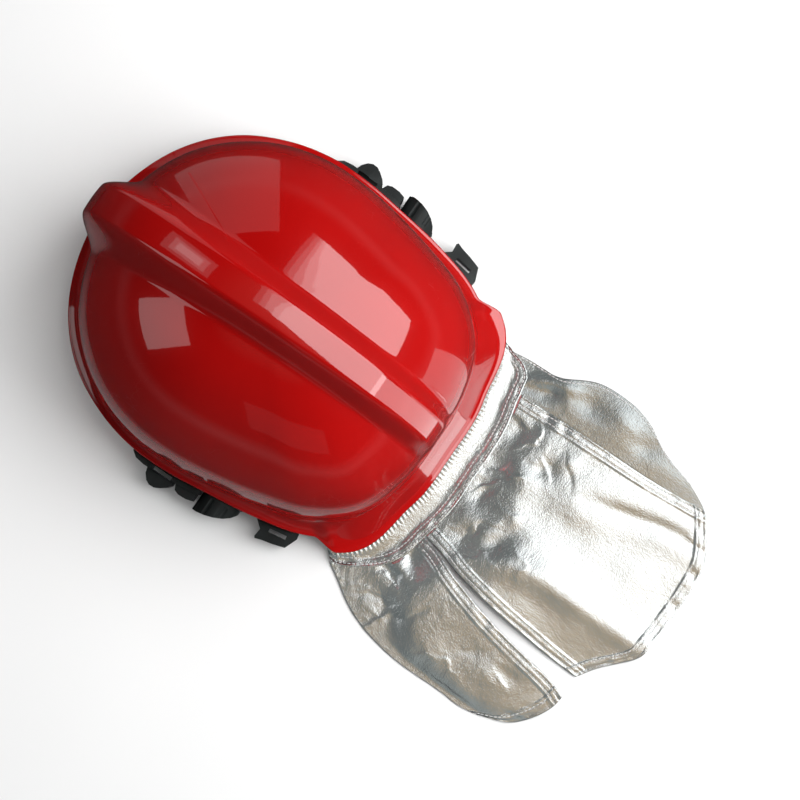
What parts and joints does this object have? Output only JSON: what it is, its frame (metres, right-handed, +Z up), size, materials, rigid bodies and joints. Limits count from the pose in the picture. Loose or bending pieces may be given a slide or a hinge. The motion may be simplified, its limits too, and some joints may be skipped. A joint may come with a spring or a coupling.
{
  "type": "fire helmet",
  "caption": "Fire helmet with a crested gloss shell, a visor that swings down from under the shell, side fittings, a head harness, a chin strap and an aluminised neck cape.",
  "frame": {"origin": "bottom centre of the bounding box, on the surface the helmet stands on", "axes": "+Y from the front of the helmet to the rear and out along the cape, +X to the wearer's left, +Z up"},
  "size_m": [0.272, 0.4851, 0.1681],
  "materials": {
    "shell_red": "high gloss, moulded in colour",
    "foam": "matte closed-cell foam",
    "pad": "brushed padding cloth",
    "crown_tape": "woven tape",
    "black_plastic": "fine grain, glass-filled",
    "grey_plastic": "smooth",
    "lens": "clear polycarbonate with a hard coat",
    "trim": "extruded edge trim",
    "steel": "zinc plated",
    "webbing": "woven webbing",
    "button_red": "satin",
    "aluminised": "aluminised film on aramid cloth, crinkled"
  },
  "bodies": {
    "helmet": {"outer_shell": "shell_red", "impact_liner": "foam", "crown_pad": "pad", "crown_strap_cross": "crown_tape", "crown_strap_diagonal_a": "crown_tape", "crown_strap_diagonal_b": "crown_tape", "headband": "black_plastic", "brow_sweatband": "pad", "suspension_hooks": "black_plastic", "ratchet_housing": "black_plastic", "ratchet_cover": "black_plastic", "nape_pad": "pad", "pivot_bolt_left": "steel", "pivot_bolt_right": "steel", "pivot_spacers": "steel", "side_bracket_left": "black_plastic", "side_bracket_right": "black_plastic", "bracket_screws": "steel", "rear_clip_left": "black_plastic", "rear_clip_right": "black_plastic", "clip_screws": "steel", "chin_strap_left": "webbing", "chin_strap_right": "webbing", "chin_strap_lower": "webbing", "strap_sliders": "black_plastic", "strap_rivets": "steel", "chin_pad": "pad", "buckle_body": "black_plastic", "buckle_tongue": "black_plastic", "cape_band": "aluminised", "cape_panel_left": "aluminised", "cape_panel_center": "aluminised", "cape_panel_right": "aluminised", "cape_studs": "steel"},
    "visor": {"visor_lens": "lens", "visor_edge_trim": "trim", "visor_hub_left": "black_plastic", "visor_hub_right": "black_plastic"},
    "knob_left": {"visor_knob_left": "black_plastic", "knob_cap_left": "grey_plastic"},
    "knob_right": {"visor_knob_right": "black_plastic", "knob_cap_right": "grey_plastic"},
    "dial": {"ratchet_dial": "black_plastic", "ratchet_pinion": "grey_plastic"},
    "rack_left": {"rack_band_left": "grey_plastic"},
    "rack_right": {"rack_band_right": "grey_plastic"},
    "button": {"buckle_button": "button_red"}
  },
  "joints": [
    {"name": "visor_hinge", "type": "hinge", "parent": "helmet", "child": "visor", "pos_m": [0, -0.0589, 0.015], "axis": [1, 0, 0], "range_deg": [0, 38]},
    {"name": "knob_left_turn", "type": "hinge", "parent": "helmet", "child": "knob_left", "pos_m": [0.12, -0.0589, 0.015], "axis": [1, 0, 0], "range_deg": [0, 180]},
    {"name": "knob_right_turn", "type": "hinge", "parent": "helmet", "child": "knob_right", "pos_m": [-0.12, -0.0589, 0.015], "axis": [-1, 0, 0], "range_deg": [0, 180]},
    {"name": "dial_turn", "type": "hinge", "parent": "helmet", "child": "dial", "pos_m": [0, -0.0014, 0.038], "axis": [0, -1, 0], "range_deg": [0, 140]},
    {"name": "rack_left_slide", "type": "hinge", "parent": "helmet", "child": "rack_left", "pos_m": [0, -0.0814, 0.038], "axis": [0, 0, 1], "range_deg": [0, 8.7]},
    {"name": "rack_right_slide", "type": "hinge", "parent": "helmet", "child": "rack_right", "pos_m": [0, -0.0814, 0.038], "axis": [0, 0, -1], "range_deg": [0, 8.7]},
    {"name": "buckle_press", "type": "slide", "parent": "helmet", "child": "button", "axis": [0, 0, -1], "range_m": [0, 0.0014], "stiffness_N_per_m": 400}
  ],
  "couplings": [
    {"joint": "rack_left_slide", "follows": "dial_turn", "ratio": 0.061576},
    {"joint": "rack_right_slide", "follows": "dial_turn", "ratio": 0.061576}
  ]
}
